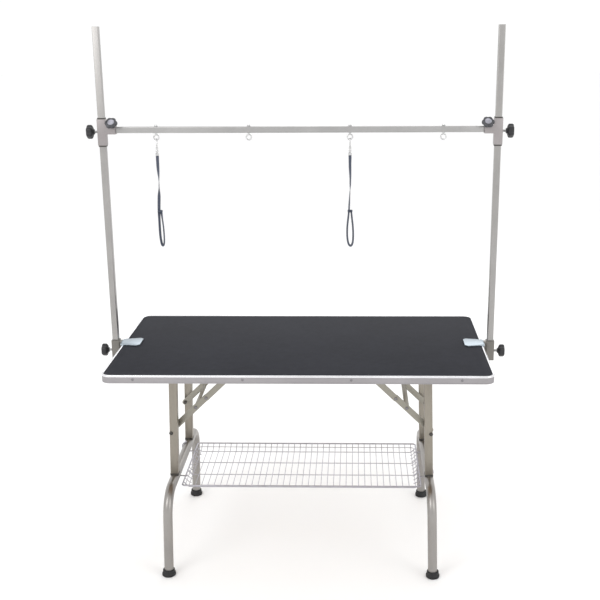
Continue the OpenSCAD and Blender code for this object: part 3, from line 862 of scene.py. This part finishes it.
# clamps, posts, bar and tees, in millimetres
armSizes = {
    "postAt": 625,
    "post": 20,
    "sleeve": (1360, 1442),
    "sleeveRingLow": (-4.5, 1),  # how far the dark rings reach past and into a sleeve's ends
    "sleeveRingHigh": (-1, 4),
    "sleeveRingOut": 2.1,
    "sleeveRingIn": 0.15,
    "jawAt": 562,
    "screw": (5, 600, 670.4, 2.0, 0.7),  # radius, low, high, pitch, depth
    "handleAt": 604,
    "handle": [(0, -24), (2.6, -24), (3.4, -23.2), (3.6, -21.5), (3, -20), (3, 20), (3.6, 21.5),
               (3.4, 23.2), (2.6, 24), (0, 24)],
    "pad": [(0, 670.3), (8, 670.3), (12.6, 671.2), (13.9, 672.6), (14, 674.6), (13.4, 676),
            (12.6, 676.4), (0, 676.4)],
    "plateFrom": 700.5,  # the clamp gets its painted highlight colour above this and inboard of plateTo, and painted shade elsewhere
    "plateTo": 606,
    "clampEase": 0.9,
    "postEase": 0.5,
    "teeEase": 1.3,
    "barEase": 0.4,
}


def makeArm(s):
    for side, sign in sides.items():
        clamp = softened(f"{side}_clamp", f"{side}Clamp", s["clampEase"] * mm, "clamp_metal")
        # painted light: the plate on the mat is given a pale painted highlight, the bracket and socket
        # that hang from it a darker painted shade
        clamp.data.materials.append(finishes["clamp_body_painted_shade"])
        for face in clamp.data.polygons:
            onMat = face.center.z > s["plateFrom"] * mm and abs(face.center.x) < s["plateTo"] * mm
            face.material_index = 0 if onMat else 1
        softened(f"{side}_post", f"{side}Post", s["postEase"] * mm, "post_steel")
        softened(f"{side}_tee", f"{side}Tee", s["teeEase"] * mm, "tee_steel", segments=3)
        bm = bmesh.new()
        half = s["post"] / 2
        for end, (start, stop) in zip(s["sleeve"], (s["sleeveRingLow"], s["sleeveRingHigh"])):
            squareCollar(bm, half + s["sleeveRingOut"], half + s["sleeveRingIn"], end + start, end + stop,
                         (sign * s["postAt"] * mm, 0, 0))
        meshPiece(f"{side}SleeveRings", bm, "overhead_arm", "tee_steel", "dark_ring_finish")
        bm = bmesh.new()
        x = sign * s["jawAt"] * mm
        turned(bm, threadedOutline(*s["screw"]), (x, 0, 0), steps=28)
        turned(bm, s["handle"], (x, 0, s["handleAt"] * mm), "right", 24)
        screw = meshPiece(f"{side}JawScrew", bm, f"{side}_jaw", "stud_steel")
        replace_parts(screw, f"{side}_jaw_screw")
        bm = bmesh.new()
        turned(bm, s["pad"], (x, 0, 0), steps=44)
        pad = meshPiece(f"{side}JawPad", bm, f"{side}_jaw", "foot_rubber")
        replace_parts(pad, f"{side}_jaw_pad")
    softened("overhead_bar", "overheadBar", s["barEase"] * mm, "post_steel", "bar_steel")


# four eyebolts through the bar, with a nut and washer on top
eyeSizes = {
    "places": (-454, -160, 160, 454),
    "ringAt": 1384,
    "ringRadius": 8,
    "wire": 2.2,
    "stem": [(0, 1390.4), (2.3, 1390.4), (2.6, 1392.4), (2.5, 1394), (2.5, 1396), (4.6, 1396.3),
             (4.6, 1398.3), (2.5, 1398.6), (2.5, 1424.4), (2.1, 1425), (0, 1425)],
    "nutAt": 1417.5,
    "nut": [(2.4, 0), (4.2, 0), (5.1, 0.4), (5.1, 3.3), (4.2, 4), (2.4, 4), (2.4, 0)],
    "washer": [(2.4, -0.1), (6.4, -0.1), (6.6, 0.2), (6.4, 0.6), (2.4, 0.6), (2.4, -0.1)],
}


def makeEyebolts(s):
    bm = bmesh.new()
    for x in s["places"]:
        turned(bm, s["nut"], (x * mm, 0, s["nutAt"] * mm), steps=6)
    for x in s["places"]:
        turned(bm, s["washer"], (x * mm, 0, s["nutAt"] * mm), steps=32)
    nuts = meshPiece("eyeboltNuts", bm, "overhead_arm", "stud_steel")
    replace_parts(nuts, "eyebolt_nuts")
    around = [math.radians(6 + i * 348 / 36) + math.pi for i in range(37)]  # a small gap at the stem
    radius, middle = s["ringRadius"], s["ringAt"]
    rings = []
    stems = bmesh.new()
    for x in s["places"]:
        rings.append([((x + radius * math.sin(a)) * mm, 0, (middle - radius * math.cos(a)) * mm)
                      for a in around])
        turned(stems, s["stem"], (x * mm, 0, 0), steps=28)
    eyes = wirePiece("eyeRings", rings, s["wire"] * mm, "overhead_arm", "hook_steel", around=4)
    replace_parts(eyes, "eyebolts")
    meshPiece("eyeStems", stems, "overhead_arm", "hook_steel")


makeArm(armSizes)
makeEyebolts(eyeSizes)
print("arm made")


# the lock knobs: at is the place of the seat, out how far the head stands off it
knobSizes = {
    "side": {"radius": 22, "thick": 20, "at": (638.1, 1402), "out": 15, "stud": (-2.8, 29)},
    "post": {"radius": 21, "thick": 20, "at": (638.1, 676), "out": 15, "stud": (-2.8, 29)},
    "top": {"radius": 20, "thick": 14, "at": (590, 1408), "out": 25, "stud": (13.1, 33)},
    "lobes": 6,
    "lobeDepth": 2.6,
    "around": 96,
    "studRadius": 4,
    "thread": (1.5, 0.5),  # pitch and depth
}


def lobedLoop(radius, depth, z, s):
    run = []
    for i in range(s["around"]):
        a = 2 * math.pi * i / s["around"]
        r = radius - depth * (0.5 - 0.5 * math.cos(s["lobes"] * a)) ** 1.5
        run.append((r * math.cos(a), r * math.sin(a), z))
    return run


# the head in rings of radius, lobe depth and height above its seat
def knobHead(bm, k, s, place, way):
    r, t, d = k["radius"], k["thick"], s["lobeDepth"]
    rings = [(7, 0, -4), (8, 0, -3.4), (8.6, 0, -1), (10.5, 0, 0), (r - 4.4, d * 0.7, t * 0.1),
             (r - 1.6, d, t * 0.19), (r - 0.3, d, t * 0.27), (r, d, t * 0.36), (r, d, t - 5),
             (r - 0.4, d, t - 3), (r - 1.6, d * 0.9, t - 1.2), (r - 3.4, d * 0.7, t - 0.2),
             (r - 5.2, d * 0.4, t), (r * 0.62, 0, t - 0.2), (r * 0.59, 0, t - 1.9), (r * 0.50, 0, t - 2)]
    stacked(bm, [lobedLoop(radius, depth, z + k["out"], s) for radius, depth, z in rings], place, way)


def knobCap(bm, k, place, way):
    r, t = k["radius"] * 0.54, k["thick"] + k["out"]
    turned(bm, [(0, t - 3), (r, t - 3), (r, t - 1.2), (r - 0.5, t - 0.5), (r - 1.6, t - 0.1),
                (r * 0.5, t + 0.3), (0, t + 0.5)], place, way, 48)


def makeKnob(side, kind, s):
    k = s[kind]
    body = f"{side}_{kind}_lock"
    way = "corner" if kind == "top" else side
    place = (sides[side] * k["at"][0] * mm, 0, k["at"][1] * mm)
    look = "top_knob" if kind == "top" else "knob"
    name = f"{side}{kind.title()}"
    bm = bmesh.new()
    knobHead(bm, k, s, place, way)
    head = meshPiece(f"{name}Knob", bm, body, "knob_plastic", f"{look}_plastic", smooth=28)
    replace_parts(head, f"{side}_{kind}_knob")
    bm = bmesh.new()
    knobCap(bm, k, place, way)
    meshPiece(f"{name}Cap", bm, body, "knob_plastic", f"{look}_cap")
    bm = bmesh.new()
    turned(bm, threadedOutline(s["studRadius"], *k["stud"], *s["thread"]), place, way, 28)
    stud = meshPiece(f"{name}Stud", bm, body, "stud_steel")
    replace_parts(stud, f"{side}_{kind}_stud")


for side in sides:
    for kind in ("side", "post", "top"):
        makeKnob(side, kind, knobSizes)
print("knobs made")
